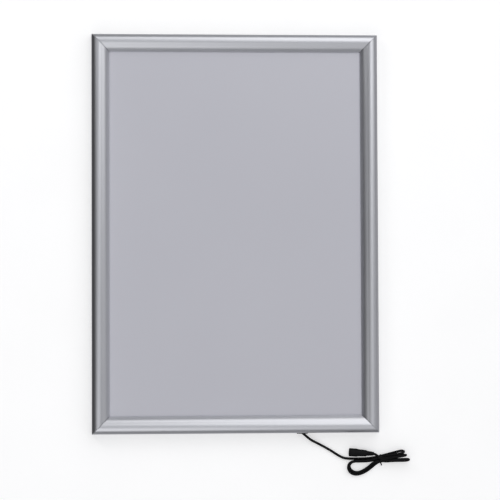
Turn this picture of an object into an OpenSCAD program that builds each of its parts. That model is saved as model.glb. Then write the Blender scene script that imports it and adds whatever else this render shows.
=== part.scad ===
// Slim lighted advertising sign: an edge-lit panel in a frame of four hinged clip rails.
// The sign lies on its back: +Z is out of its face, +Y towards its top edge, +X to its right.
// The origin is the centre of the back plane. Each rail is drawn in a section (u, w), where u runs
// inward from the sign's outer edge and w runs forward from the back plane.

/* [Sign] */
// Width over the frame
sign_w = 454; // [400:1:900]
// Height over the frame
sign_h = 632; // [560:1:1300]
// Depth from the back plane to the crown of the clip rails
sign_d = 24; // [24:1:26]

/* [Base rail] */
// Wall of the outer side
wall = 1.5; // [1.2:0.1:1.6]
// Thickness of the rear flange and of the web over the key channel
flange_t = 1.4; // [1.2:0.1:1.6]
// Reach of the rear flange
flange_u = 25; // [22:1:26]
// Height of the web that closes the key channel
web_w = 11.4; // [11.2:0.1:11.5]
// Thickness of the key channel's inner wall
channel_wall = 1.2; // [1:0.1:1.4]
// Radius of the hinge bead
bead_r = 1.2; // [1:0.05:1.3]

/* [Clip rail] */
// Wall of the clip rail
clip_t = 1.4; // [1.2:0.1:1.6]
// Reach of the clip rail over the panel
clip_u = 28; // [27:0.5:28]
// Running clearance between the bead and its knuckle
hinge_gap = 0.08; // [0.05:0.01:0.1]
// Largest opening angle, which the knuckle's mouth is cut for
clip_open = 90; // [60:5:90]

/* [Panel] */
// Thickness of the back panel
back_t = 3; // [2:0.5:3]
// Thickness of the reflector
reflector_t = 0.5; // [0.3:0.1:0.6]
// Thickness of the light guide
guide_t = 5; // [4:0.5:5]
// Thickness of the diffuser
diffuser_t = 2; // [1.5:0.5:2]
// Thickness of the clear cover sheet
cover_t = 1; // [0.5:0.1:1]

/* [Light] */
// LEDs on each strip
led_count = 36; // [12:1:48]

/* [Cord] */
// Diameter of the cord
cord_d = 4; // [3.5:0.1:4.4]
// Height of the cord's axis where it leaves the bottom rail
exit_w = 6; // [5.5:0.1:6]

/* [Hidden] */
$fn = 48;

// How far a cutting shape reaches past the face it cuts
over = 1;

// Base rail section
channel_u = 11.4;
channel_top = web_w - flange_t;
channel_middle_u = (wall + channel_u - channel_wall) / 2;
upstand_w = 13.4;
bead_u = 2.2;
bead_w = 14;
neck_t = 0.9;

// Clip rail section: a shoulder, a shallow valley, a crown, a slope at 45 degrees and an upright lip.
// The face leans inward by valley_turn where the valley starts and by crown_turn where it ends.
shoulder_r = 11;
clip_from_u = 0.1;
shoulder_c = [clip_from_u + shoulder_r, sign_d - shoulder_r];
valley_r = 8;
valley_turn = 28;
crown_turn = 18;
valley_c = shoulder_c + (shoulder_r + valley_r) * [sin(valley_turn), cos(valley_turn)];
crown_r = 17;
crown_c = valley_c - (valley_r + crown_r) * [sin(crown_turn), cos(crown_turn)];
slope = 45;
arc_step = 5;
lip_gap = 0.4;
mitre_gap = 0.25;
bore_r = bead_r + hinge_gap;
knuckle_r = 2.1;
knuckle_setback = 8;
knuckle_reach = knuckle_r + 0.2;
heel_u = 5.6;
heel_t = 1;
heel_w = 15.2;
mouth_from = 145;
mouth_slack = 65;
mouth_to = mouth_from + mouth_slack + clip_open;
shell_root = 160;
knuckle_root = 70;
knuckle_steps = 14;

// Panel stack, from the back forward, and how far in from the outer edge each sheet starts
back_w = flange_t;
reflector_w = back_w + back_t;
guide_w = reflector_w + reflector_t;
diffuser_w = guide_w + guide_t;
cover_w = diffuser_w + diffuser_t;
front_w = cover_w + cover_t;
lip_w = front_w + lip_gap;
sheet_u = 11.6;
guide_u = 14.5;

// Corner keys and screws
key_leg = 48;
key_gap = 0.3;
key_floor = 3;
key_wall = 1.6;
key_screw_at = 40;
screw_gap = 0.1;
screw_r = 1.5;
screw_head_r = 2.8;
key_screw_l = 4.4;
panel_screw_l = 3.6;
panel_screw_u = 18;
short_screws = [-110, 110];
long_screws = [-200, 0, 200];

// Wall fixing holes through the top and bottom rails
fix_x = 150;
fix_u = 7;
fix_r = 2.5;

// Leaf springs
spring_l = 60;
spring_t = 0.5;
spring_u = 5.2;
spring_upright = 3.4;
spring_arm = 2.7;
spring_arm_turn = 155;
short_springs = [-75, 75];
long_springs = [-200, 0, 200];

// LED strips
bar_t = 1.2;
bar_inset = 18;
led_l = 3;
led_t = 1;
led_h = 2.4;
led_margin = 12;
led_pitch = (sign_h - 2 * (bar_inset + led_margin)) / (led_count - 1);

// Wires in the bottom channel
wire_r = 0.6;
wire_u = 13.2;
wire_gap = 1;
wire_low = guide_w + 2 * wire_r;
wire_high = wire_low + 2 * wire_r + wire_gap;

// Cord where it passes through the bottom rail, at an angle in plan
cord_r = cord_d / 2;
cord_angle = -41;
grommet_out = 1.2;
cord_exit = [106.6, -sign_h / 2 - grommet_out];
cord_inner_l = 30;
cord_tail_end = -4.2;
cord_hole_gap = 0.3;
slot_half = 4.5;
slot_r = 3.4;
grommet_rim = 1;
grommet_lip = 0.6;
clamp_x = 92;
clamp_l = 13;
clamp_gap = 2;
terminal_l = 18;
terminal_x = 88;
terminal_h = 4.6;
terminal_gap = 0.2;

// Route of the free cord, from the grommet to the hank
run_points = [
    [103.4, -314.4, 6], [108, -318.4, 6], [113, -322.6, 5.7], [119, -327.2, 5], [127, -331.6, 3.6],
    [135, -335.8, 2.4], [143, -340.2, 2], [151, -344.8, 2], [158, -349.4, 2], [165, -353.6, 2],
    [172, -356.6, 2], [180, -357.6, 2], [186, -357.8, 2]];
// Route from the socket's strain relief into the hank
end_points = [[219, -350, 6.5], [222.6, -351.8, 7.8], [226, -355, 9.1]];
tube_sides = 10;

// Hank: loop end, neck and folded end, each a centre and a radius, and the side next to the socket
hank_loop = [190.5, -370, 14.4];
hank_neck = [230, -358.2, 6.2];
hank_fold = [269.4, -355.8, 9.2];
hank_side = [218, -355.6];
hank_loop_turn = [90, 300];
hank_fold_turn = [-92, 99];
hank_steps = 24;
hank_h = 11;
tie_t = 0.7;
tie_l = 2.6;
tie_bite = 0.3;
tie_proud = 0.2;
tie_tail_l = 5;
tie_tail_r = 0.9;
tie_tail_turn = 20;

// Inline socket, from its mouth to the end of its strain relief
socket_mouth = [179.3, -347.2];
socket_angle = -4;
socket_r = 6.5;
socket_head_l = 13.5;
socket_body_l = 28;
socket_l = 39.8;
socket_body_r = 6;
socket_neck_r = 5.4;
socket_taper_l = 20.5;
socket_edge = 0.4;
socket_bore_r = 3.2;
relief_r = 3.7;
relief_end_r = 2.6;
groove_r = 2.9;
groove_l = 1.1;
groove_first = 2;
groove_pitch = 2.6;
groove_last = 3;
barrel_set = 0.4;
barrel_r = 2.75;
barrel_l = 11;
pin_r = 1.05;
pin_set = 2.5;
insulator_l = 3;

// Points on an arc about c
function arc(c, r, from, to, n) =
    [for (i = [0:n]) c + r * [cos(from + (to - from) * i / n), sin(from + (to - from) * i / n)]];

// The clip rail's line from the valley to the lip: the outer one when t is 0, the inner one when t
// is the wall
function face_line(t) = concat(
    arc(valley_c, valley_r + t, 270 - valley_turn, 270 - crown_turn,
        round((valley_turn - crown_turn) / arc_step)),
    arc(crown_c, crown_r - t, 90 - crown_turn, slope, round((90 - crown_turn - slope) / arc_step)),
    [lip_point(t)]);

// Where the sloping line meets the lip's face, t inside its outer one
function lip_point(t) =
    let (start = crown_c + (crown_r - t) * [cos(slope), sin(slope)], u = clip_u - t)
    [u, start[1] - (u - start[0]) * tan(slope)];

// The shoulder's line between two angles, t inside the outer face
function shoulder_line(t, from, to) =
    arc(shoulder_c, shoulder_r - t, from, to, max(1, round(abs(to - from) / arc_step)));

// The angle on the shoulder's inner face that is u in from the outer edge
function inner_angle(u) = acos((u - shoulder_c[0]) / (shoulder_r - clip_t));

function reversed(list) = [for (i = [len(list) - 1:-1:0]) list[i]];

// Rings of a tube about a route, each square to the route where it stands
function tangent(p, i) =
    let (d = p[min(i + 1, len(p) - 1)] - p[max(i - 1, 0)])
    d / norm(d);
function ring(p, i, r, sides) =
    let (t = tangent(p, i), side = cross([0, 0, 1], t), a = side / norm(side), b = cross(t, a))
    [for (k = [0:sides - 1]) p[i] + r * (a * cos(360 * k / sides) + b * sin(360 * k / sides))];

module tube(p, r, sides) {
    rings = len(p);
    points = [for (i = [0:rings - 1]) each ring(p, i, r, sides)];
    walls = [for (i = [0:rings - 2], k = [0:sides - 1])
        let (n = (k + 1) % sides)
        [i * sides + k, i * sides + n, (i + 1) * sides + n, (i + 1) * sides + k]];
    ends = [[for (k = [sides - 1:-1:0]) k], [for (k = [0:sides - 1]) (rings - 1) * sides + k]];
    polyhedron(points, concat(ends, walls));
}

// Puts a piece that is drawn along +X with u along +Y onto one side of the sign
module on_bottom() translate([0, -sign_h / 2, 0]) children();
module on_top() rotate(180) on_bottom() children();
module on_left() translate([-sign_w / 2, 0, 0]) rotate(-90) children();
module on_right() rotate(180) on_left() children();

// Extrudes a (u, w) section to a length and cuts both ends to the mitre
module mitred(length, gap = 0) {
    reach = 2 * clip_u;
    intersection() {
        rotate([90, 0, 90]) linear_extrude(length, center = true) children();
        translate([0, 0, -over]) linear_extrude(sign_d + 2 * over)
            polygon([[gap - length / 2 - over, -over], [length / 2 + over - gap, -over],
                [length / 2 - reach - gap, reach], [reach + gap - length / 2, reach]]);
    }
}

module base_section() {
    square([flange_u, flange_t]);
    square([wall, web_w]);
    translate([channel_u - channel_wall, 0]) square([channel_wall, upstand_w]);
    translate([0, channel_top]) square([channel_u, flange_t]);
    translate([bead_u - neck_t / 2, channel_top]) square([neck_t, bead_w - channel_top]);
    translate([bead_u, bead_w]) circle(bead_r);
}

// Countersunk hole or screw along +w from the back plane
module screw_shape(length, gap = 0) {
    cylinder(flange_t, screw_head_r + gap, screw_r + gap);
    translate([0, 0, -gap]) cylinder(length + gap, r = screw_r + gap);
}

module base_rail(length, panel_screws, fix_holes) {
    difference() {
        mitred(length) base_section();
        for (side = [-1, 1])
            translate([side * (length / 2 - key_screw_at), channel_middle_u, 0])
                screw_shape(flange_t + over, screw_gap);
        for (x = panel_screws)
            translate([x, panel_screw_u, 0]) screw_shape(flange_t + over, screw_gap);
        for (x = fix_holes)
            translate([x, fix_u, -over]) cylinder(web_w + 2 * over, r = fix_r);
    }
}

module rail_top() color("silver") on_top() base_rail(sign_w, short_screws, [-fix_x, fix_x]);
module rail_left() color("silver") on_left() base_rail(sign_h, long_screws, []);
module rail_right() color("silver") on_right() base_rail(sign_h, long_screws, []);

// The bottom rail also has the slot for the grommet and a hole where the cord reaches the channel
module rail_bottom() color("silver") {
    difference() {
        on_bottom() base_rail(sign_w, short_screws, [-fix_x, fix_x]);
        grommet_plug(sign_h / 2 + over, over + wall - sign_h / 2, slot_r);
        cord_hole(cord_hole_gap);
    }
}

// An oblong block through the bottom rail's outer wall, between two places along Y
module grommet_plug(reach, to, r) {
    centre_x = cord_exit[0] - (wall + grommet_out) / 2;
    translate([centre_x, to, exit_w]) rotate([90, 0, 0]) linear_extrude(reach + to) {
        translate([-slot_half, 0]) circle(r);
        translate([slot_half, 0]) circle(r);
        square([2 * slot_half, 2 * r], center = true);
    }
}

// A cylinder along the cord's line through the bottom rail, between two distances from the place
// where the cord leaves it; inside is negative
module inner_cord(r, from, to)
    translate([cord_exit[0], cord_exit[1], exit_w]) rotate([0, 90, cord_angle])
        translate([0, 0, from]) cylinder(to - from, r = r);
module cord_hole(gap = 0) inner_cord(cord_r + gap, -cord_inner_l, 2 * grommet_out);

// Shell, spring heel and knuckle in one outline, with the round seat of the bead cut out of it
module clip_section() {
    bead = [bead_u, bead_w];
    mouth_top = bead + (bead_u - clip_from_u) * [-1, tan(180 - mouth_from)];
    first = 180 - asin((mouth_top[1] - shoulder_c[1]) / shoulder_r);
    difference() {
        polygon(concat(
            shoulder_line(0, first, 90 - valley_turn),
            face_line(0),
            [[clip_u, lip_w], [clip_u - clip_t, lip_w]],
            reversed(face_line(clip_t)),
            shoulder_line(clip_t, 90 - valley_turn, inner_angle(heel_u + heel_t)),
            [[heel_u + heel_t, heel_w], [heel_u, heel_w]],
            shoulder_line(clip_t, inner_angle(heel_u), shell_root),
            arc(bead, knuckle_r, knuckle_root, mouth_to - 360, knuckle_steps),
            [bead]));
        translate(bead) circle(bore_r);
    }
}

module clip_rail(length) color("gainsboro") {
    difference() {
        mitred(length, mitre_gap) clip_section();
        for (side = [-1, 1])
            translate([side * length / 2, bead_u, bead_w])
                cube([2 * knuckle_setback, 2 * knuckle_reach, 2 * knuckle_reach], center = true);
    }
}

module flap_top() on_top() clip_rail(sign_w);
module flap_bottom() on_bottom() clip_rail(sign_w);
module flap_left() on_left() clip_rail(sign_h);
module flap_right() on_right() clip_rail(sign_h);

// Angle piece in the key channel of two rails, with a floor that takes the screws
module corner_key(turn_x, turn_y) color("dimgray") {
    from = wall + key_gap;
    to = channel_u - channel_wall - key_gap;
    middle = (from + to) / 2;
    tall = channel_top - flange_t - key_gap;
    mirror([turn_x, 0, 0]) mirror([0, turn_y, 0])
        translate([-sign_w / 2, -sign_h / 2, flange_t]) difference() {
            union() {
                translate([from, from, 0]) cube([key_leg, to - from, tall]);
                translate([from, from, 0]) cube([to - from, key_leg, tall]);
            }
            translate([from + key_wall, from + key_wall, key_floor])
                cube([key_leg, to - from - 2 * key_wall, tall]);
            translate([from + key_wall, from + key_wall, key_floor])
                cube([to - from - 2 * key_wall, key_leg, tall]);
            translate([key_screw_at, middle, -over]) cylinder(tall, r = screw_r);
            translate([middle, key_screw_at, -over]) cylinder(tall, r = screw_r);
        }
}

module corner_key_screws() color("gray") {
    for (x = [-1, 1], y = [-1, 1]) {
        translate([x * (sign_w / 2 - key_screw_at), y * (sign_h / 2 - channel_middle_u), 0])
            screw_shape(key_screw_l);
        translate([x * (sign_w / 2 - channel_middle_u), y * (sign_h / 2 - key_screw_at), 0])
            screw_shape(key_screw_l);
    }
}

// Leaf spring: a foot on the web, an upright against the upstand and an arm towards the heel
module leaf_spring() {
    back_u = channel_u - channel_wall;
    translate([-spring_l / 2, 0, 0]) rotate([90, 0, 90]) linear_extrude(spring_l) {
        translate([spring_u, web_w]) square([back_u - spring_u, spring_t]);
        translate([back_u - spring_t, web_w]) square([spring_t, spring_upright]);
        translate([back_u - spring_t / 2, web_w + spring_upright]) {
            circle(spring_t / 2);
            rotate(spring_arm_turn) translate([0, -spring_t / 2]) square([spring_arm, spring_t]);
        }
    }
}

module springs(places) color("slategray")
    for (x = places)
        translate([x, 0, 0]) leaf_spring();

module springs_top() on_top() springs(short_springs);
module springs_bottom() on_bottom() springs(short_springs);
module springs_left() on_left() springs(long_springs);
module springs_right() on_right() springs(long_springs);

// A flat sheet that starts u in from the outer edge and lies at height w
module sheet(u, w, thick)
    translate([u - sign_w / 2, u - sign_h / 2, w]) cube([sign_w - 2 * u, sign_h - 2 * u, thick]);

module back_panel() color("whitesmoke") {
    difference() {
        sheet(sheet_u, back_w, back_t);
        panel_screw_places() cylinder(panel_screw_l, r = screw_r);
    }
}

module panel_screw_places() {
    for (side = [-1, 1]) {
        for (x = short_screws)
            translate([x, side * (sign_h / 2 - panel_screw_u), 0]) children();
        for (y = long_screws)
            translate([side * (sign_w / 2 - panel_screw_u), y, 0]) children();
    }
}

module back_panel_screws() color("gray") panel_screw_places() screw_shape(panel_screw_l);
module reflector_sheet() color("white") sheet(sheet_u, reflector_w, reflector_t);
module light_guide() color("azure") sheet(guide_u, guide_w, guide_t);
module diffuser_sheet() color("ghostwhite") sheet(sheet_u, diffuser_w, diffuser_t);
module cover_sheet() color("lightgray") sheet(sheet_u, cover_w, cover_t);

// LED strip along a long side, drawn with u along +Y, and its LEDs
module led_bar()
    translate([bar_inset - sign_h / 2, channel_u, guide_w])
        cube([sign_h - 2 * bar_inset, bar_t, guide_t]);
module leds() {
    u = channel_u + bar_t + led_t / 2;
    w = guide_w + guide_t / 2;
    for (i = [0:led_count - 1])
        translate([(i - (led_count - 1) / 2) * led_pitch, u, w])
            cube([led_l, led_t, led_h], center = true);
}

module led_bar_left() color("white") on_left() led_bar();
module led_bar_right() color("white") on_right() led_bar();
module leds_left() color("khaki") on_left() leds();
module leds_right() color("khaki") on_right() leds();

// A wire from the terminal block along the bottom channel and up to one strip
module wire(side, w) {
    terminal_end = terminal_x + side * terminal_l / 2;
    bar_x = side * (sign_w / 2 - channel_u - bar_t / 2);
    y = wire_u - sign_h / 2;
    translate([min(terminal_end, bar_x), y, w]) rotate([0, 90, 0])
        cylinder(abs(bar_x - terminal_end), r = wire_r);
    translate([bar_x, y, w]) sphere(wire_r);
    translate([bar_x, y, w]) rotate([-90, 0, 0]) cylinder(bar_inset - wire_u, r = wire_r);
}

module wires_red() color("red") for (side = [-1, 1]) wire(side, wire_high);
module wires_black() color("black") for (side = [-1, 1]) wire(side, wire_low);

module terminal_block() color("ivory")
    translate([terminal_x - terminal_l / 2, channel_u - sign_h / 2, guide_w])
        cube([terminal_l, guide_u - channel_u - terminal_gap, terminal_h]);

module cord_tail() color("black") intersection() {
    inner_cord(cord_r, -cord_inner_l, cord_tail_end);
    translate([0, -sign_h / 2, 0]) cube([sign_w / 2, channel_u, web_w]);
}

// Clamp that grips the cord inside the key channel
module cord_clamp() color("dimgray") {
    from = wall + clamp_gap;
    to = channel_u - channel_wall;
    difference() {
        translate([clamp_x, from - sign_h / 2, flange_t])
            cube([clamp_l, to - from, channel_top - flange_t]);
        cord_hole();
    }
}

module cord_grommet() color("black") difference() {
    union() {
        grommet_plug(sign_h / 2 + grommet_out, wall - sign_h / 2, slot_r);
        grommet_plug(sign_h / 2 + grommet_out, -sign_h / 2, slot_r + grommet_rim);
        grommet_plug(sign_h / 2 - wall, wall + grommet_out - sign_h / 2, slot_r + grommet_lip);
    }
    cord_hole();
}

module cord_run() color("black") tube(run_points, cord_r, tube_sides);
module cord_end() color("black") tube(end_points, cord_r, tube_sides);

// One outline round the loop end, the neck and the folded end
module hank_outline() {
    loop = [hank_loop[0], hank_loop[1]];
    neck = [hank_neck[0], hank_neck[1]];
    fold = [hank_fold[0], hank_fold[1]];
    polygon(concat(
        arc(loop, hank_loop[2], hank_loop_turn[0], hank_loop_turn[1], hank_steps),
        [neck - [0, hank_neck[2]]],
        arc(fold, hank_fold[2], hank_fold_turn[0], hank_fold_turn[1], hank_steps),
        [neck + [0, hank_neck[2]], hank_side]));
}

module cord_hank() color("black") difference() {
    linear_extrude(hank_h) hank_outline();
    tie_band();
}

// A flat band round the neck of the hank
module tie_band() {
    inner = hank_neck[2] - tie_bite;
    outer = inner + tie_bite + tie_t;
    translate([hank_neck[0] - tie_l / 2, hank_neck[1], 0]) difference() {
        translate([0, -outer, 0]) cube([tie_l, 2 * outer, hank_h + tie_proud]);
        translate([-over, -inner, tie_t])
            cube([tie_l + 2 * over, 2 * inner, hank_h + tie_proud - 2 * tie_t]);
    }
}

module twist_tie() color("black") {
    tie_band();
    translate([hank_neck[0], hank_neck[1] - hank_neck[2], hank_h / 2])
        rotate([90, 0, tie_tail_turn]) cylinder(tie_tail_l, r = tie_tail_r);
}

// Places a piece that is drawn along +X from the socket's mouth
module in_socket()
    translate([socket_mouth[0], socket_mouth[1], socket_r]) rotate([0, 90, socket_angle]) children();

module socket_sleeve() color("black") in_socket() rotate_extrude() difference() {
    polygon([[0, 0], [socket_r - socket_edge, 0], [socket_r, socket_edge],
        [socket_r, socket_head_l - socket_edge], [socket_r - socket_edge, socket_head_l],
        [socket_body_r, socket_head_l], [socket_body_r, socket_taper_l],
        [socket_neck_r, socket_body_l - 2 * socket_edge],
        [socket_neck_r - 2 * socket_edge, socket_body_l], [0, socket_body_l]]);
    translate([0, -over]) square([socket_bore_r, over + barrel_l + insulator_l]);
}

module socket_relief() color("black") in_socket() translate([0, 0, socket_body_l]) rotate_extrude() {
    relief_l = socket_l - socket_body_l;
    difference() {
        polygon([[0, 0], [relief_r, 0], [relief_end_r, relief_l], [0, relief_l]]);
        for (i = [0:groove_last])
            translate([groove_r, groove_first + groove_pitch * i]) square([relief_r, groove_l]);
    }
}

module socket_barrel() color("silver") in_socket() translate([0, 0, barrel_set]) difference() {
    cylinder(barrel_l - barrel_set, r = socket_bore_r);
    translate([0, 0, -over]) cylinder(barrel_l + 2 * over, r = barrel_r);
}

module socket_insulator() color("black") in_socket() translate([0, 0, barrel_l]) difference() {
    cylinder(insulator_l, r = socket_bore_r);
    translate([0, 0, -over]) cylinder(insulator_l + 2 * over, r = pin_r);
}

module socket_pin() color("silver") in_socket()
    translate([0, 0, pin_set]) cylinder(barrel_l + insulator_l - pin_set, r = pin_r);

rail_top();
rail_bottom();
rail_left();
rail_right();
flap_top();
flap_bottom();
flap_left();
flap_right();
corner_key(0, 0);  // corner_key_1
corner_key(1, 0);  // corner_key_2
corner_key(0, 1);  // corner_key_3
corner_key(1, 1);  // corner_key_4
corner_key_screws();
springs_top();
springs_bottom();
springs_left();
springs_right();
back_panel();
back_panel_screws();
reflector_sheet();
light_guide();
diffuser_sheet();
cover_sheet();
led_bar_left();
led_bar_right();
leds_left();
leds_right();
wires_red();
wires_black();
terminal_block();
cord_tail();
cord_clamp();
cord_grommet();
cord_run();
cord_hank();
twist_tie();
cord_end();
socket_relief();
socket_sleeve();
socket_barrel();
socket_insulator();
socket_pin();
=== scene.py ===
"""A slim snap-frame light box sign that lies on its back, with its lead folded, tied and laid beside it."""

import math
import random

import bmesh
import bpy
from mathutils import Matrix, Vector


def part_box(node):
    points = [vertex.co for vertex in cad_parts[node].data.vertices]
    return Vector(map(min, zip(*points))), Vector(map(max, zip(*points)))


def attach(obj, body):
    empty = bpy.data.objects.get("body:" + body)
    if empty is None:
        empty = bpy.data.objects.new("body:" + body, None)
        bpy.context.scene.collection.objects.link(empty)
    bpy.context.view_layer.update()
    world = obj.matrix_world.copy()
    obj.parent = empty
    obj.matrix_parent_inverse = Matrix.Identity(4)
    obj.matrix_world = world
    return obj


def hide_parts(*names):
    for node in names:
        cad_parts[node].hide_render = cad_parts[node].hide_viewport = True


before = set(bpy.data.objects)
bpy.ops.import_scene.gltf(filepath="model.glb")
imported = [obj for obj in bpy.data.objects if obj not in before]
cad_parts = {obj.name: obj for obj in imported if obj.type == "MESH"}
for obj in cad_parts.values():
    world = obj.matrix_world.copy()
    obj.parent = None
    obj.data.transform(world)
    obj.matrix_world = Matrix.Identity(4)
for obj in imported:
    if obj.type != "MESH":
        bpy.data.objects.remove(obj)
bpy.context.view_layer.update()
MM = 0.001

# ---------------------------------------------------------------- sizes from the frame, in mm
sign_low, sign_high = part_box("rail_left")[0] / MM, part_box("rail_right")[1] / MM
SIGN_W = sign_high.x - sign_low.x
SIGN_H = sign_high.y - sign_low.y
SIGN_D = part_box("flap_left")[1].z / MM

# Clip rail section: (u, w) runs inward from the outer edge and up from the back plane. Angles are in
# degrees, counterclockwise from u.
BEAD = (2.2, 14.0)
BORE_R = 1.28
KNUCKLE_R = 2.1
KNUCKLE_ROOT = ((2.4, 16.4), (1.4, 16.6), (0.7, 15.4))
MOUTH_FROM, MOUTH_TO = 145.0, -60.0
KNUCKLE_TOP = 70.0
CLIP_WALL = 1.4
CLIP_FROM = 0.1
CLIP_REACH = 28.0
LIP_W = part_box("cover_sheet")[1].z / MM + 0.4
SHOULDER_R = 11.0
SHOULDER = (CLIP_FROM + SHOULDER_R, SIGN_D - SHOULDER_R)
VALLEY_R = 8.0
VALLEY_TURN = 28.0
CROWN_R = 17.0
CROWN_TURN = 18.0
SLOPE = 45.0
SHELL_FROM = 167.0
SHELL_INNER_TO = 166.0
LIP_SOFT = 0.25
MITRE_GAP = 0.25
KNUCKLE_SETBACK = 8.0
HEEL_NEAR, HEEL_FAR, HEEL_W = 5.6, 6.6, 15.2
HEEL_SOFT = 0.3

# Cord, its wire tie and its inline socket. The cord's length is in metres, and each strand in the tie
# is given by its (y, height).
CORD_D = 4.0
CORD_SLACK = 0.02
FOLD_R = 6.2
SOCKET_MOUTH = (179.3, -347.2)
SOCKET_R = 6.5
SOCKET_ANGLE = -4.0
SOCKET_L = 28.0
SOCKET_HEAD_L = 13.5
SOCKET_BORE_R = 3.22
GRIP_DEPTH = 0.25
RELIEF_L = 11.8
RELIEF_FROM_R, RELIEF_TO_R = 4.3, 2.95
RELIEF_COLLARS = 5
RELIEF_PITCH = 2.3
TIE_X = 230.0
TIE_STRANDS = ((-353.8, 2.8), (-362.4, 2.8), (-358.1, 2.8), (-360.2, 6.3), (-356.1, 6.3),
               (-357.9, 10.0))
TIE_THICK = 0.7
TIE_HALF_WIDTH = 1.2
TIE_END_FROM = (TIE_X, -364.4, 4.2)
TIE_END_LEAN = (0.35, -1.0, 0.12)
TIE_END_L = 4.2
TIE_END_TURNS = 2.5
TIE_END_R = 0.55

# Screws, from the sign's outer edges and its centre
KEY_SCREW_U, KEY_SCREW_AT, KEY_SCREW_L = 5.85, 40.0, 4.4
PANEL_SCREW_U, PANEL_SCREW_L = 18.0, 3.6
PANEL_SCREWS_X = (-110, 110)
PANEL_SCREWS_Y = (-200, 0, 200)

# Camera, in metres, with its lens in mm
CAMERA_LENS = 135.9
CAMERA_SENSOR = 36
CAMERA_PLACE = (-0.1595, -0.1351, 2.993)
CAMERA_TARGET = (0.0229, -0.0265, 0.014)
CAMERA_UP = (0.004, 1, 0)

# Studio light: (position, level) along each axis, from the left, the bottom edge and below
WORLD_X = ((0.0, 0.06), (0.3, 0.42), (0.5, 1.0), (0.62, 0.9), (0.8, 0.48), (0.92, 0.55), (1.0, 2.1))
WORLD_Y = ((0.0, 0.75), (0.15, 0.95), (0.5, 1.0), (1.0, 1.3))
WORLD_Z = ((0.0, 0.65), (0.34, 0.8), (0.47, 0.45), (0.56, 0.24), (0.7, 0.75), (1.0, 1.0))
WORLD_LEVEL = 0.66
WORLD_TINT = (0.985, 0.99, 1.02)
FLOOR_GLOW = 0.45
WALL_GLOW = 0.7
# Each soft box: name, place and size in metres, power in watts
LIGHTS = (
    ("top_right_softbox", (0.8, 1.35, 1.35), (2.0, 2.5), 12.0),
    ("bottom_left_softbox", (-0.85, -1.5, 1.6), (1.9, 2.4), 8.5),
    ("corner_softbox_1", (-1.4, 1.4, 1.3), (0.8, 0.8), 6.0),
    ("corner_softbox_2", (1.5, -1.4, 1.3), (0.8, 0.8), 1.5),
)


# ---------------------------------------------------------------- camera, light and floor
def look_from(obj, place, target, up):
    """Puts obj at place with its -Z towards target and its +Y near up."""
    back = (Vector(place) - Vector(target)).normalized()
    right = Vector(up).cross(back).normalized()
    turn = Matrix((right, back.cross(right), back)).transposed().to_4x4()
    obj.matrix_world = Matrix.Translation(place) @ turn


def add_camera():
    """The camera: nearly above the sign's centre, a little to its left and towards its bottom edge."""
    data = bpy.data.cameras.new("camera")
    data.lens = CAMERA_LENS
    data.sensor_width = CAMERA_SENSOR
    camera = bpy.data.objects.new("camera", data)
    bpy.context.scene.collection.objects.link(camera)
    look_from(camera, CAMERA_PLACE, CAMERA_TARGET, CAMERA_UP)
    bpy.context.scene.camera = camera


def add_softbox(name, place, size, power):
    """A soft box that faces the centre of the sign."""
    data = bpy.data.lights.new(name, "AREA")
    data.shape = "RECTANGLE"
    data.size, data.size_y = size
    data.energy = power
    box = bpy.data.objects.new(name, data)
    bpy.context.scene.collection.objects.link(box)
    look_from(box, place, (0, 0, 0), (0, 1, 0.01))


def ramp_stops(tree, value, stops):
    """A grey ramp over a value, from (position, level) pairs."""
    ramp = tree.nodes.new("ShaderNodeValToRGB")
    ramp.color_ramp.interpolation = "B_SPLINE"
    ends = ramp.color_ramp.elements
    while len(ends) < len(stops):
        ends.new(0.5)
    for end, (position, level) in zip(ends, stops):
        end.position = position
        end.color = (level, level, level, 1)
    tree.links.new(value, ramp.inputs[0])
    return ramp.outputs[0]


def multiplied(tree, first, second):
    """The product of a socket and either another socket or a constant colour."""
    product = tree.nodes.new("ShaderNodeVectorMath")
    product.operation = "MULTIPLY"
    tree.links.new(first, product.inputs[0])
    if isinstance(second, tuple):
        product.inputs[1].default_value = second
    else:
        tree.links.new(second, product.inputs[1])
    return product.outputs[0]


def add_world():
    """A soft studio: bright overhead and dim towards the walls, dimmest at the left and least so at the
    right."""
    world = bpy.data.worlds.new("studio")
    bpy.context.scene.world = world
    world.use_nodes = True
    tree = world.node_tree
    background = tree.nodes["Background"]
    coords = tree.nodes.new("ShaderNodeTexCoord")
    split = tree.nodes.new("ShaderNodeSeparateXYZ")
    tree.links.new(coords.outputs["Generated"], split.inputs[0])
    levels = []
    for axis, stops in (("X", WORLD_X), ("Y", WORLD_Y), ("Z", WORLD_Z)):
        spread = tree.nodes.new("ShaderNodeMapRange")
        spread.inputs["From Min"].default_value = -1.0
        tree.links.new(split.outputs[axis], spread.inputs["Value"])
        levels.append(ramp_stops(tree, spread.outputs["Result"], stops))
    studio = multiplied(tree, multiplied(tree, levels[0], levels[1]), levels[2])
    tree.links.new(multiplied(tree, studio, WORLD_TINT), background.inputs[0])
    background.inputs[1].default_value = WORLD_LEVEL


def add_lights():
    add_world()
    for name, place, size, power in LIGHTS:
        add_softbox(name, place, size, power)


def add_stage_mesh(name, points, faces, tone, glow):
    """A pale painted stage piece that glows a little and that the metal doesn't mirror."""
    mesh = bpy.data.meshes.new(name)
    mesh.from_pydata(points, [], faces)
    for polygon in mesh.polygons:
        polygon.use_smooth = True
    piece = bpy.data.objects.new(name, mesh)
    bpy.context.scene.collection.objects.link(piece)
    paint = surface(name + "_paint", (tone - 0.02,) * 3, (tone,) * 3, rough=(0.75, 0.85),
                    grain=(3, 3, 3), relief=0.0)
    shader = paint.node_tree.nodes["Principled BSDF"]
    shader.inputs["Emission Color"].default_value = (1, 1, 1, 1)
    shader.inputs["Emission Strength"].default_value = glow
    mesh.materials.append(paint)
    piece.visible_glossy = False
    return piece


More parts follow.
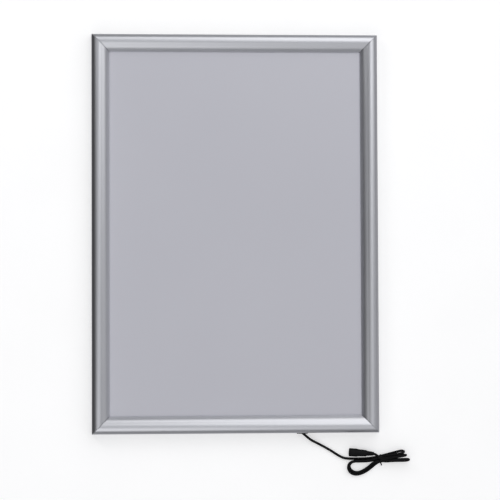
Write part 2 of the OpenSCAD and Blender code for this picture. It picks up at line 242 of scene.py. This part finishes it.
def add_stage():
    """A pale floor, like a light table, and a far pale wall that curves up from it all round, which
    only the camera sees."""
    below, reach, sides = -0.0004, 7.0, 96
    half = reach + 1.0
    outline = [(reach - 0.6, below + 0.001), (reach, 0.02), (reach + 0.6, 0.12), (reach + 1.1, 0.5),
               (reach + 1.4, 1.4), (reach + 1.4, 7.0)]
    corners = [(-half, -half, below), (half, -half, below), (half, half, below), (-half, half, below)]
    add_stage_mesh("floor", corners, [(0, 1, 2, 3)], 0.88, FLOOR_GLOW)
    turns = [2 * math.pi * k / sides for k in range(sides)]
    points = [(r * math.cos(t), r * math.sin(t), z) for t in turns for r, z in outline]
    count = len(outline)
    faces = []
    for k in range(sides):
        here, ahead = k * count, (k + 1) % sides * count
        faces += [(here + i, here + i + 1, ahead + i + 1, ahead + i) for i in range(count - 1)]
    wall = add_stage_mesh("far_wall", points, faces, 0.5, WALL_GLOW)
    wall.visible_diffuse = False
    wall.visible_transmission = False
    wall.visible_shadow = False


# ---------------------------------------------------------------- materials
NOISE_LOW, NOISE_HIGH = 0.3, 0.7


def noise_node(tree, scale, detail, seed=0.0):
    """A noise over the object's own coordinates, with a scale along each axis in cycles per metre."""
    coords = tree.nodes.new("ShaderNodeTexCoord")
    mapping = tree.nodes.new("ShaderNodeMapping")
    noise = tree.nodes.new("ShaderNodeTexNoise")
    mapping.inputs["Location"].default_value = (seed, 0.37 * seed, 0.71 * seed)
    mapping.inputs["Scale"].default_value = scale
    noise.inputs["Scale"].default_value = 1.0
    noise.inputs["Detail"].default_value = detail
    tree.links.new(coords.outputs["Object"], mapping.inputs["Vector"])
    tree.links.new(mapping.outputs["Vector"], noise.inputs["Vector"])
    return noise.outputs[0]


def ramp_node(tree, value, low, high):
    """Maps a noise's middle range onto the colours from low to high."""
    ramp = tree.nodes.new("ShaderNodeValToRGB")
    ends = ramp.color_ramp.elements
    ends[0].position, ends[0].color = NOISE_LOW, (*low, 1)
    ends[1].position, ends[1].color = NOISE_HIGH, (*high, 1)
    tree.links.new(value, ramp.inputs[0])
    return ramp.outputs[0]


def range_node(tree, value, low, high):
    """Maps a noise's middle range onto low to high."""
    spread = tree.nodes.new("ShaderNodeMapRange")
    spread.inputs["From Min"].default_value = NOISE_LOW
    spread.inputs["From Max"].default_value = NOISE_HIGH
    spread.inputs["To Min"].default_value = low
    spread.inputs["To Max"].default_value = high
    tree.links.new(value, spread.inputs["Value"])
    return spread.outputs["Result"]


def surface(name, dark, light, rough=(0.4, 0.5), metallic=0.0, grain=(300, 300, 300), relief=0.2,
            depth=0.00005, patch=(9, 9, 9), specular=0.5, detail=3.0):
    """A finish whose colour drifts between two tones in patches, with a fine grain in its relief."""
    mat = bpy.data.materials.new(name)
    mat.use_nodes = True
    tree = mat.node_tree
    shader = tree.nodes["Principled BSDF"]
    shader.inputs["Metallic"].default_value = metallic
    shader.inputs["Specular IOR Level"].default_value = specular
    drift = noise_node(tree, patch, 4.0)
    fine = noise_node(tree, grain, detail, seed=3.1)
    tree.links.new(ramp_node(tree, drift, dark, light), shader.inputs["Base Color"])
    tree.links.new(range_node(tree, fine, *rough), shader.inputs["Roughness"])
    if relief > 0:
        bump = tree.nodes.new("ShaderNodeBump")
        bump.inputs["Strength"].default_value = relief
        bump.inputs["Distance"].default_value = depth
        tree.links.new(fine, bump.inputs["Height"])
        tree.links.new(bump.outputs["Normal"], shader.inputs["Normal"])
    return mat


def extruded_metal(name, along, dark, light, rough):
    """Satin anodised extrusion, with fine die lines along its length."""
    fine, slow = 2600.0, 14.0
    lines = (slow, fine, fine) if along == "X" else (fine, slow, fine)
    broad = (1.5, 160.0, 160.0) if along == "X" else (160.0, 1.5, 160.0)
    return surface(name, dark, light, rough=rough, metallic=1.0, grain=lines, relief=0.25,
                   depth=0.00003, patch=broad, detail=2.0)


def make_materials():
    """Every material of the sign, by a short name."""
    made = {}
    tones = ((0.74, 0.748, 0.785), (0.80, 0.808, 0.84))
    for along in "XY":
        made["clip_" + along] = extruded_metal("clip_metal_" + along.lower(), along, *tones, (0.32, 0.40))
        made["rail_" + along] = extruded_metal("rail_metal_" + along.lower(), along,
                                               (0.68, 0.685, 0.70), (0.74, 0.745, 0.76), (0.34, 0.42))
    made["panel"] = surface("panel_face", (0.725, 0.725, 0.79), (0.745, 0.745, 0.81), rough=(0.30, 0.36),
                            grain=(1400, 1400, 1400), relief=0.05, depth=0.00002, patch=(3, 3, 3))
    made["opal"] = surface("opal_sheet", (0.80, 0.80, 0.82), (0.84, 0.84, 0.86), rough=(0.35, 0.45),
                           grain=(900, 900, 900), relief=0.05)
    made["guide"] = surface("light_guide", (0.72, 0.80, 0.78), (0.78, 0.86, 0.84), rough=(0.06, 0.12),
                            grain=(500, 500, 500), relief=0.02)
    made["film"] = surface("reflector_film", (0.90, 0.90, 0.90), (0.94, 0.94, 0.94), rough=(0.5, 0.6))
    made["board"] = surface("back_board", (0.70, 0.70, 0.70), (0.77, 0.77, 0.77), rough=(0.55, 0.68),
                            grain=(700, 700, 700), relief=0.25, depth=0.0001, patch=(5, 5, 5))
    made["cast"] = surface("cast_zinc", (0.22, 0.225, 0.235), (0.32, 0.325, 0.335), rough=(0.45, 0.6),
                           metallic=1.0, grain=(900, 900, 900), relief=0.35, depth=0.0001,
                           patch=(60, 60, 60))
    made["spring"] = surface("spring_strip", (0.30, 0.31, 0.34), (0.42, 0.43, 0.46), rough=(0.22, 0.34),
                             metallic=1.0, grain=(1500, 200, 200), relief=0.1, patch=(40, 40, 40))
    made["screw"] = surface("zinc_plate", (0.55, 0.55, 0.56), (0.70, 0.70, 0.70), rough=(0.25, 0.38),
                            metallic=1.0, grain=(1500, 1500, 1500), relief=0.15, patch=(200, 200, 200))
    made["circuit"] = surface("circuit_mask", (0.78, 0.78, 0.75), (0.84, 0.84, 0.81), rough=(0.3, 0.4))
    made["led"] = surface("led_phosphor", (0.80, 0.62, 0.16), (0.88, 0.72, 0.24), rough=(0.2, 0.3),
                          patch=(300, 300, 300))
    made["red_wire"] = surface("red_wire", (0.42, 0.02, 0.015), (0.52, 0.03, 0.02), rough=(0.35, 0.45),
                               patch=(80, 80, 80))
    made["black_wire"] = surface("black_wire", (0.015, 0.015, 0.016), (0.025, 0.025, 0.027),
                                 rough=(0.35, 0.45), patch=(80, 80, 80))
    made["terminal"] = surface("terminal_plastic", (0.66, 0.64, 0.56), (0.72, 0.70, 0.62), rough=(0.4, 0.5))
    made["jacket"] = surface("cord_jacket", (0.0022, 0.0022, 0.0026), (0.0045, 0.0045, 0.005),
                             rough=(0.46, 0.56), grain=(1300, 1300, 1300), relief=0.22, depth=0.00005,
                             patch=(60, 60, 60), specular=0.16)
    made["moulding"] = surface("socket_moulding", (0.0025, 0.0025, 0.003), (0.0055, 0.0055, 0.006),
                               rough=(0.46, 0.58), grain=(1900, 1900, 1900), relief=0.3, depth=0.00005,
                               patch=(120, 120, 120), specular=0.18)
    made["rubber"] = surface("grommet_rubber", (0.008, 0.008, 0.008), (0.015, 0.015, 0.015),
                             rough=(0.6, 0.75), grain=(1200, 1200, 1200), relief=0.3, patch=(90, 90, 90))
    made["nickel"] = surface("nickel_plate", (0.62, 0.60, 0.56), (0.72, 0.70, 0.66), rough=(0.16, 0.26),
                             metallic=1.0, grain=(2500, 2500, 2500), relief=0.08, patch=(300, 300, 300))
    return made


# ---------------------------------------------------------------- mesh helpers
def arc_points(centre, radius, start, stop, step=3.0):
    """Points on an arc in a section, in mm and degrees."""
    count = max(2, round(abs(stop - start) / step))
    turns = [math.radians(start + (stop - start) * i / count) for i in range(count + 1)]
    return [(centre[0] + radius * math.cos(t), centre[1] + radius * math.sin(t)) for t in turns]


def shade(bm, sharp):
    """Smooths every face but keeps edges sharper than a number of degrees."""
    bm.normal_update()
    limit = math.radians(sharp)
    for face in bm.faces:
        face.smooth = True
    for edge in bm.edges:
        if len(edge.link_faces) == 2 and edge.calc_face_angle(0.0) > limit:
            edge.smooth = False


def volume_under(face):
    """The signed volume between a face and the origin."""
    corners = [vert.co for vert in face.verts]
    return sum(corners[0].dot(a.cross(b)) for a, b in zip(corners[1:], corners[2:])) / 6


def face_outward(bm):
    """Turns the faces of each closed shell outward."""
    bmesh.ops.recalc_face_normals(bm, faces=bm.faces[:])
    waiting = set(bm.faces)
    while waiting:
        start = waiting.pop()
        shell, front = [start], [start]
        while front:
            near = {face for edge in front.pop().edges for face in edge.link_faces} & waiting
            waiting -= near
            shell += near
            front += near
        if sum(volume_under(face) for face in shell) < 0:
            bmesh.ops.reverse_faces(bm, faces=shell)


def finish_piece(bm, name, mat, body, sharp):
    """Turns a bmesh in metres into a piece that rides on a body. Edges sharper than sharp, in degrees,
    stay crisp."""
    face_outward(bm)
    shade(bm, sharp)
    mesh = bpy.data.meshes.new(name)
    bm.to_mesh(mesh)
    bm.free()
    piece = bpy.data.objects.new(name, mesh)
    bpy.context.scene.collection.objects.link(piece)
    mesh.materials.append(mat)
    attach(piece, body)
    return piece


def inward(section, distance):
    """Moves each point of a counterclockwise section inward by a distance."""
    moved = []
    for i, here in enumerate(section):
        before, after = section[i - 1], section[(i + 1) % len(section)]
        along = Vector((after[0] - before[0], after[1] - before[1]))
        if along.length < 1e-6:
            moved.append(here)
            continue
        along.normalize()
        moved.append((here[0] - along.y * distance, here[1] + along.x * distance))
    return moved


def area_of(section):
    """The area inside a section, positive when it runs counterclockwise."""
    return 0.5 * sum(a[0] * b[1] - b[0] * a[1] for a, b in zip(section, section[1:] + section[:1]))


def add_sweep(bm, section, end_x, place, edge=0.25):
    """Sweeps a (u, w) section along x between two ends. end_x(u) gives the half length at u, in mm, and
    place turns (x, u, w) into a point. The ends get a small bevel."""
    if area_of(section) < 0:
        section = section[::-1]
    small = inward(section, edge)
    rings = []
    for side in (-1, 1):
        full = [bm.verts.new(place(side * (end_x(u) - edge), u, w)) for u, w in section]
        tip = [bm.verts.new(place(side * end_x(u), a, b)) for (u, _), (a, b) in zip(section, small)]
        rings.append((full, tip))
    (left, left_tip), (right, right_tip) = rings
    count = len(section)
    for ring_a, ring_b in ((left_tip, left), (left, right), (right, right_tip)):
        for i in range(count):
            j = (i + 1) % count
            bm.faces.new((ring_a[i], ring_b[i], ring_b[j], ring_a[j]))
    for ring in (left_tip, right_tip):
        cap = bm.faces.new(ring)
        cap.normal_update()
        bmesh.ops.triangulate(bm, faces=[cap], ngon_method="EAR_CLIP")


def side_place(side):
    """The function that puts (x, u, w) of one side of the sign into the frame, in metres."""
    centre = (sign_low + sign_high) / 2
    half_w, half_h = SIGN_W / 2, SIGN_H / 2
    places = {
        "bottom": lambda x, u, w: (centre.x + x, centre.y - half_h + u, w),
        "top": lambda x, u, w: (centre.x - x, centre.y + half_h - u, w),
        "left": lambda x, u, w: (centre.x - half_w + u, centre.y - x, w),
        "right": lambda x, u, w: (centre.x + half_w - u, centre.y + x, w),
    }
    chosen = places[side]
    return lambda x, u, w: Vector(chosen(x, u, w)) * MM


# ---------------------------------------------------------------- clip rails
def leaning(degrees):
    """The outward direction in the section of a face that leans inward by some degrees."""
    return Vector((math.sin(math.radians(degrees)), math.cos(math.radians(degrees))))


def clip_face(inset):
    """The clip rail's shown line from the valley to the end of the crown, inset from the outer one."""
    valley = Vector(SHOULDER) + (SHOULDER_R + VALLEY_R) * leaning(VALLEY_TURN)
    crown = valley - (VALLEY_R + CROWN_R) * leaning(CROWN_TURN)
    line = arc_points(valley, VALLEY_R + inset, 270 - VALLEY_TURN, 270 - CROWN_TURN, 1.5)
    return line + arc_points(crown, CROWN_R - inset, 90 - CROWN_TURN, SLOPE, 2.0)[1:]


def clip_shell():
    """The shell of the clip rail with its rounded lip and the heel that the springs push on."""
    outer = arc_points(SHOULDER, SHOULDER_R, SHELL_FROM, 90 - VALLEY_TURN, 2.0) + clip_face(0)[1:]
    slope_end = outer[-1][1] - (CLIP_REACH - outer[-1][0])
    back_u = CLIP_REACH - CLIP_WALL
    inner = clip_face(CLIP_WALL)[::-1]
    lip = [(CLIP_REACH - 0.45, slope_end + 0.45), (CLIP_REACH - 0.12, slope_end),
           (CLIP_REACH, slope_end - 0.4), (CLIP_REACH, LIP_W + LIP_SOFT), (CLIP_REACH - LIP_SOFT, LIP_W),
           (back_u + LIP_SOFT, LIP_W), (back_u, LIP_W + LIP_SOFT),
           (back_u, inner[0][1] - (back_u - inner[0][0]))]
    radius = SHOULDER_R - CLIP_WALL
    turns = [math.degrees(math.acos((u - SHOULDER[0]) / radius)) for u in (HEEL_FAR, HEEL_NEAR)]
    inner += arc_points(SHOULDER, radius, 90 - VALLEY_TURN, turns[0])[1:]
    inner += [(HEEL_FAR, HEEL_W + HEEL_SOFT), (HEEL_FAR - HEEL_SOFT, HEEL_W),
              (HEEL_NEAR + HEEL_SOFT, HEEL_W), (HEEL_NEAR, HEEL_W + HEEL_SOFT)]
    inner += arc_points(SHOULDER, radius, turns[1], SHELL_INNER_TO)
    return outer + lip + inner


def clip_knuckle():
    """The knuckle that runs on the bead, and its root in the shell."""
    outside = arc_points(BEAD, KNUCKLE_R, MOUTH_TO, KNUCKLE_TOP, 10)
    seat = arc_points(BEAD, BORE_R, MOUTH_FROM, MOUTH_TO, 10)
    return outside + list(KNUCKLE_ROOT) + seat


def make_clip(side, mats):
    """The clip rail of one side, which turns with its body."""
    length = SIGN_W if side in ("top", "bottom") else SIGN_H
    along = "X" if side in ("top", "bottom") else "Y"
    place = side_place(side)
    bm = bmesh.new()
    add_sweep(bm, clip_shell(), lambda u: length / 2 - u - MITRE_GAP, place)
    add_sweep(bm, clip_knuckle(), lambda u: length / 2 - KNUCKLE_SETBACK, place, edge=0.1)
    piece = finish_piece(bm, "clip_rail_" + side, mats["clip_" + along], side + "_clip",
                         24.0)
    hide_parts("flap_" + side)


# ---------------------------------------------------------------- CAD shapes with softened edges
def softened(node, name, mat, body, width):
    """A copy of a CAD node's shape with a small round on its edges, width across in mm, which stands for
    the node."""
    bm = bmesh.new()
    bm.from_mesh(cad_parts[node].data)
    bmesh.ops.remove_doubles(bm, verts=bm.verts[:], dist=1e-6)
    flat = math.radians(0.5)
    bmesh.ops.dissolve_limit(bm, angle_limit=flat, verts=bm.verts[:], edges=bm.edges[:])
    bm.normal_update()
    corner = math.radians(40)
    edges = [e for e in bm.edges if len(e.link_faces) == 2 and e.calc_face_angle(0.0) > corner]
    bmesh.ops.bevel(bm, geom=edges, offset=width * MM, segments=2, profile=0.5, affect="EDGES",
                    clamp_overlap=True)
    bmesh.ops.triangulate(bm, faces=[f for f in bm.faces if len(f.verts) > 4])
    piece = finish_piece(bm, name, mat, body, 30.0)
    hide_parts(node)


# ---------------------------------------------------------------- cord
def fold(tip, turn, lean):
    """Points round a fold that stands on its edge, from its lower strand to its upper one, in mm. turn
    is its direction in plan and lean its tilt from lying flat, in degrees."""
    steps, reach = 6, 84.0
    ahead = Vector((math.cos(math.radians(turn)), math.sin(math.radians(turn)), 0))
    aside = Vector((-ahead.y, ahead.x, 0))
    rise = aside * math.cos(math.radians(lean)) + Vector((0, 0, math.sin(math.radians(lean))))
    centre = Vector((*tip, CORD_D / 2 + FOLD_R * rise.z)) - ahead * (FOLD_R + CORD_D / 2)
    turns = [math.radians(reach * (2 * i / steps - 1)) for i in range(steps + 1)]
    return [tuple(centre + FOLD_R * (math.cos(t) * ahead + math.sin(t) * rise)) for t in turns]


def cord_route():
    """Points of the whole cord, in mm, from inside the grommet to the socket's strain relief."""
    free_run = [(103.4, -314.4, 6), (108, -318.4, 6), (113, -322.6, 5.7), (119, -327.2, 5),
                (127, -331.6, 3.6), (135, -335.8, 2.4), (143, -340.2, 2), (151, -344.8, 2),
                (158, -349.4, 2), (165, -353.6, 2), (172, -356.6, 2), (180, -357.6, 2), (186, -357.8, 2),
                (198, -357.8, 2), (210, -357.4, 2), (220, -356, 2.2)]
    out_1 = [(230, -353.8, 2.8), (240, -351.4, 2.2), (250, -348.9, 2)]
    back_1 = [(252.5, -351.2, 12.0), (246, -352.6, 10.1), (239, -354.0, 8.2), (230, -356.1, 6.2)]
    loop_1 = [(225.5, -356.9, 6.1), (221, -358.2, 6.0), (212, -360.6, 6.1), (202, -361.4, 6.1),
              (192, -361.2, 6.2), (184.4, -362.4, 6.2), (179.4, -366, 6.2), (178, -371.8, 5.9),
              (180.2, -377.8, 4.4), (186, -382, 2.4), (193, -382.8, 2), (201, -380.8, 2),
              (209, -376.6, 2), (216, -371.4, 2), (223, -365.8, 2.2)]
    out_2 = [(230, -362.4, 2.8), (241, -362.4, 2.2), (251, -361.9, 2)]
    back_2 = [(257.5, -358.5, 13.2), (248, -359.0, 11.0), (239, -359.6, 8.4), (230, -360.2, 6.3)]
    loop_2 = [(223.6, -361.8, 6.2), (217.5, -365, 4.7), (212.6, -369.1, 3.4), (206.8, -373.4, 3.3),
              (199.8, -377.3, 3.4), (193, -379.1, 3.3), (187.3, -378.3, 2.5), (183.2, -375.6, 2),
              (180.8, -372, 2), (180.6, -368.2, 2), (182.6, -364.9, 2), (187.2, -362.6, 2),
              (198, -362.2, 2), (210, -361.8, 2), (221, -360, 2.2)]
    out_3 = [(230, -358.1, 2.8), (240, -356.6, 2.3), (250, -355.1, 2)]
    back_3 = [(254, -354.6, 14.3), (247, -355.6, 13.6), (239, -356.7, 12.0), (230, -357.9, 10)]
    to_socket = [(226.4, -355.4, 9.9), (222.8, -352, 8.1), (219, -350, 6.5)]
    return (free_run + out_1 + fold((268.4, -346.1), 12.9, 105) + back_1
            + loop_1 + out_2 + fold((276.5, -359.7), 2.0, 75) + back_2
            + loop_2 + out_3 + fold((271.7, -352.1), 8.2, 90) + back_3 + to_socket)


def smooth_line(points, steps=6):
    """A centripetal curve through the points."""
    line = [Vector(p) for p in points]
    line = [2 * line[0] - line[1]] + line + [2 * line[-1] - line[-2]]
    smooth = []
    for a, b, c, d in zip(line, line[1:], line[2:], line[3:]):
        t1 = (b - a).length ** 0.5
        t2 = t1 + (c - b).length ** 0.5
        t3 = t2 + (d - c).length ** 0.5
        for k in range(steps):
            t = t1 + (t2 - t1) * k / steps
            ab = a.lerp(b, t / t1)
            bc = b.lerp(c, (t - t1) / (t2 - t1))
            cd = c.lerp(d, (t - t2) / (t3 - t2))
            abc = ab.lerp(bc, t / t2)
            bcd = bc.lerp(cd, (t - t1) / (t3 - t1))
            smooth.append(abc.lerp(bcd, (t - t1) / (t2 - t1)))
    smooth.append(line[-2])
    return smooth


def add_tube(bm, line, radius, sides):
    """A closed tube of a radius about a line, both in metres. Its rings don't twist."""
    turns = [2 * math.pi * k / sides for k in range(sides)]
    rings = []
    normal = None
    for i, here in enumerate(line):
        ahead, behind = line[min(i + 1, len(line) - 1)], line[max(i - 1, 0)]
        tangent = (ahead - behind).normalized()
        if normal is None:
            normal = tangent.orthogonal().normalized()
        normal = (normal - tangent * normal.dot(tangent)).normalized()
        cross = tangent.cross(normal)
        spokes = [math.cos(t) * normal + math.sin(t) * cross for t in turns]
        rings.append([bm.verts.new(here + radius * spoke) for spoke in spokes])
    for ring_a, ring_b in zip(rings, rings[1:]):
        for k in range(sides):
            n = (k + 1) % sides
            bm.faces.new((ring_a[k], ring_b[k], ring_b[n], ring_a[n]))
    bm.faces.new(rings[0][::-1])
    bm.faces.new(rings[-1])


def make_cord(mats):
    """The lead as one tube that never dips under the floor, and its line in metres."""
    floor_w = CORD_D / 2
    line = [Vector((p.x, p.y, max(p.z, floor_w))) * MM for p in smooth_line(cord_route())]
    bm = bmesh.new()
    add_tube(bm, line, CORD_D / 2 * MM, sides=16)
    cord = finish_piece(bm, "lead", mats["jacket"], "frame", 60.0)
    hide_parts("cord_run", "cord_hank", "cord_end")
    return cord, line


def tie_line(strands, radius, count=72):
    """The tight line round a bundle of round strands, each a (y, z) in mm."""
    line = []
    for i in range(count):
        t = 2 * math.pi * i / count
        ahead = Vector((math.cos(t), math.sin(t)))
        best = max(strands, key=lambda c: Vector(c).dot(ahead))
        line.append(Vector(best) + radius * ahead)
    return line


def make_tie(mats):
    """A flat coated wire tie round the neck of the bundle, with its two ends twisted together."""
    inner = tie_line(TIE_STRANDS, CORD_D / 2 + CORD_SLACK)
    outer = tie_line(TIE_STRANDS, CORD_D / 2 + TIE_THICK)
    inner_x, outer_x = TIE_HALF_WIDTH, 0.8 * TIE_HALF_WIDTH
    lowest = 0.05
    bm = bmesh.new()
    loops = []
    for line, x in ((inner, -inner_x), (inner, inner_x), (outer, outer_x), (outer, -outer_x)):
        loops.append([bm.verts.new(Vector((TIE_X + x, p.x, max(p.y, lowest))) * MM) for p in line])
    for loop_a, loop_b in zip(loops, loops[1:] + loops[:1]):
        for i in range(len(inner)):
            j = (i + 1) % len(inner)
            bm.faces.new((loop_a[i], loop_a[j], loop_b[j], loop_b[i]))
    start = Vector(TIE_END_FROM)
    lean = Vector(TIE_END_LEAN).normalized()
    across = lean.orthogonal().normalized()
    other = lean.cross(across)
    steps = 30
    for phase in (0, math.pi):
        wire = []
        for k in range(steps + 1):
            t = phase + 2 * math.pi * TIE_END_TURNS * k / steps
            aside = math.cos(t) * across + math.sin(t) * other
            wire.append((start + lean * (TIE_END_L * k / steps) + TIE_END_R * aside) * MM)
        add_tube(bm, wire, TIE_END_R * MM, sides=8)
    tie = finish_piece(bm, "wire_tie", mats["moulding"], "frame", 50.0)
    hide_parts("twist_tie")
    return tie


# ---------------------------------------------------------------- inline socket
def socket_place():
    """The transform from the socket's own axis, +X from its mouth, into the frame."""
    mouth = Vector((SOCKET_MOUTH[0], SOCKET_MOUTH[1], SOCKET_R)) * MM
    return Matrix.Translation(mouth) @ Matrix.Rotation(math.radians(SOCKET_ANGLE), 4, "Z")


def add_lathe(bm, profile, place, sides=48, ripple=None):
    """Turns a closed (along, radius) profile in mm about the x axis. ripple(along, turn) adds to a
    radius."""
    rings = []
    for k in range(sides):
        turn = 2 * math.pi * k / sides
        ring = []
        for along, radius in profile:
            r = radius + (ripple(along, turn) if ripple else 0.0)
            point = Vector((along, r * math.cos(turn), r * math.sin(turn))) * MM
            ring.append(bm.verts.new(place @ point))
        rings.append(ring)
    for ring_a, ring_b in zip(rings, rings[1:] + rings[:1]):
        for i in range(len(profile)):
            j = (i + 1) % len(profile)
            bm.faces.new((ring_a[i], ring_a[j], ring_b[j], ring_b[i]))


def make_socket(mats):
    """The moulded body of the socket, round its bore: a plain head and a tapered grip behind it."""
    head, bore = SOCKET_HEAD_L, SOCKET_BORE_R
    outline = [(0.0, bore + 0.3), (0.0, 5.7), (0.25, 6.2), (0.8, SOCKET_R), (head - 1.0, SOCKET_R),
               (head - 0.35, 6.35), (head, 6.05), (head + 0.3, 5.98), (21.0, 5.8), (26.8, 5.3),
               (27.6, 5.0), (SOCKET_L, 4.4), (SOCKET_L, bore), (14.0, bore), (0.3, bore)]

    def grip(along, turn):
        """Shallow hollows along two sides of the grip, in mm."""
        inside = head + 1.5 < along < SOCKET_L - 2.0
        return -GRIP_DEPTH * max(0.0, math.cos(2 * turn)) if inside else 0.0

    fine = []
    for (a, r), (b, q) in zip(outline, outline[1:] + outline[:1]):
        pieces = max(1, round(abs(b - a) / 1.0))
        fine += [(a + (b - a) * k / pieces, r + (q - r) * k / pieces) for k in range(pieces)]
    bm = bmesh.new()
    add_lathe(bm, fine, socket_place(), ripple=grip)
    sleeve = finish_piece(bm, "socket_body", mats["moulding"], "frame", 40.0)
    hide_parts("socket_sleeve")
    return sleeve


def make_relief(mats):
    """The strain relief behind the socket: short collars on a tapered core, open for the cord."""
    place = socket_place() @ Matrix.Translation((SOCKET_L * MM, 0, 0))
    opening = CORD_D / 2 + CORD_SLACK
    core = [(0, opening), (0, 3.7), (RELIEF_L, 2.5), (RELIEF_L, opening)]
    bm = bmesh.new()
    add_lathe(bm, core, place, sides=32)
    for k in range(RELIEF_COLLARS):
        start = 0.4 + RELIEF_PITCH * k
        r = RELIEF_FROM_R + (RELIEF_TO_R - RELIEF_FROM_R) * start / RELIEF_L
        collar = [(start, 2.2), (start, r), (start + 0.2, r + 0.15), (start + 1.1, r + 0.05),
                  (start + 1.3, r - 0.1), (start + 1.3, 2.2)]
        add_lathe(bm, collar, place, sides=32)
    relief = finish_piece(bm, "socket_strain_relief", mats["moulding"], "frame", 40.0)
    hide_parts("socket_relief")
    return relief


# ---------------------------------------------------------------- screws
def turned(points, t):
    """Points in a plane, turned about its origin by an angle in radians."""
    return [(x * math.cos(t) - y * math.sin(t), x * math.sin(t) + y * math.cos(t)) for x, y in points]


def cross_outline(arm, half):
    """A Phillips cross, in mm, counterclockwise."""
    quarter = [(arm, -half), (arm, half), (half, half)]
    return [point for k in range(4) for point in turned(quarter, math.pi / 2 * k)]


def add_screw(bm, x, y, shank_l, twist):
    """A countersunk screw that points up, its head flush with the back plane, with a cross recess."""
    head_r, shank_r, head_h = 2.8, 1.5, 1.35
    recess_arm, recess_half, recess_depth = 1.45, 0.32, 0.9
    sides = 28
    turns = [2 * math.pi * k / sides for k in range(sides)]
    rings = []
    for radius, z in ((head_r - 0.12, 0.0), (head_r, 0.08), (shank_r, head_h), (shank_r, shank_l)):
        rings.append([bm.verts.new(Vector((x + radius * math.cos(t), y + radius * math.sin(t), z)) * MM)
                      for t in turns])
    for ring_a, ring_b in zip(rings, rings[1:]):
        for k in range(sides):
            n = (k + 1) % sides
            bm.faces.new((ring_a[k], ring_b[k], ring_b[n], ring_a[n]))
    bm.faces.new(rings[-1])
    cross = turned(cross_outline(recess_arm, recess_half), twist)
    rim = [bm.verts.new(Vector((x + px, y + py, 0)) * MM) for px, py in cross]
    floor = [bm.verts.new(Vector((x + 0.8 * px, y + 0.8 * py, recess_depth)) * MM) for px, py in cross]
    count = len(rim)
    for i in range(count):
        j = (i + 1) % count
        bm.faces.new((rim[i], rim[j], floor[j], floor[i]))
    bm.faces.new(floor)
    ring_edges = [bm.edges.get((rings[0][k], rings[0][(k + 1) % sides])) for k in range(sides)]
    rim_edges = [bm.edges.get((rim[i], rim[(i + 1) % count])) for i in range(count)]
    bmesh.ops.triangle_fill(bm, edges=ring_edges + rim_edges, use_beauty=True, normal=(0, 0, -1))


def make_screws(mats):
    """The screws of the corner keys and of the back panel, each turned at random."""
    rng = random.Random(7)
    half_w, half_h = SIGN_W / 2, SIGN_H / 2
    key_places, panel_places = [], []
    for sx in (-1, 1):
        for sy in (-1, 1):
            key_places.append((sx * (half_w - KEY_SCREW_AT), sy * (half_h - KEY_SCREW_U)))
            key_places.append((sx * (half_w - KEY_SCREW_U), sy * (half_h - KEY_SCREW_AT)))
        panel_places += [(sx * (half_w - PANEL_SCREW_U), y) for y in PANEL_SCREWS_Y]
        panel_places += [(x, sx * (half_h - PANEL_SCREW_U)) for x in PANEL_SCREWS_X]
    groups = (("key_screws", "corner_key_screws", key_places, KEY_SCREW_L),
              ("panel_screws", "back_panel_screws", panel_places, PANEL_SCREW_L))
    for name, node, places, shank_l in groups:
        bm = bmesh.new()
        for x, y in places:
            add_screw(bm, x, y, shank_l, rng.uniform(0, math.pi))
        screws = finish_piece(bm, name, mats["screw"], "frame", 30.0)
        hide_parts(node)


# ---------------------------------------------------------------- assembly
def paint(node, mat):
    """Gives a CAD node that is shown as it is its material."""
    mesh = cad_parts[node].data
    mesh.materials.clear()
    mesh.materials.append(mat)


def build():
    """Camera and cord first, then the light, the floor and the rest of the sign."""
    add_camera()
    mats = make_materials()
    cord, cord_line = make_cord(mats)
    tie = make_tie(mats)
    sleeve = make_socket(mats)
    relief = make_relief(mats)
    add_lights()
    add_stage()
    for side in ("top", "bottom", "left", "right"):
        along = "X" if side in ("top", "bottom") else "Y"
        make_clip(side, mats)
        softened("rail_" + side, "base_rail_" + side, mats["rail_" + along], "frame", 0.2)
        paint("springs_" + side, mats["spring"])
    for k in range(1, 5):
        paint(f"corner_key_{k}", mats["cast"])
    make_screws(mats)
    for side in ("left", "right"):
        paint("led_bar_" + side, mats["circuit"])
        paint("leds_" + side, mats["led"])
    for node, mat in (("cover_sheet", "panel"), ("diffuser_sheet", "opal"), ("light_guide", "guide"),
                      ("reflector_sheet", "film"), ("back_panel", "board"), ("wires_red", "red_wire"),
                      ("wires_black", "black_wire"), ("terminal_block", "terminal"),
                      ("cord_tail", "jacket"), ("cord_clamp", "moulding"), ("cord_grommet", "rubber"),
                      ("socket_barrel", "nickel"), ("socket_insulator", "moulding"),
                      ("socket_pin", "nickel")):
        paint(node, mats[mat])


build()
bpy.context.scene.view_settings.view_transform = "Standard"
bpy.context.view_layer.update()
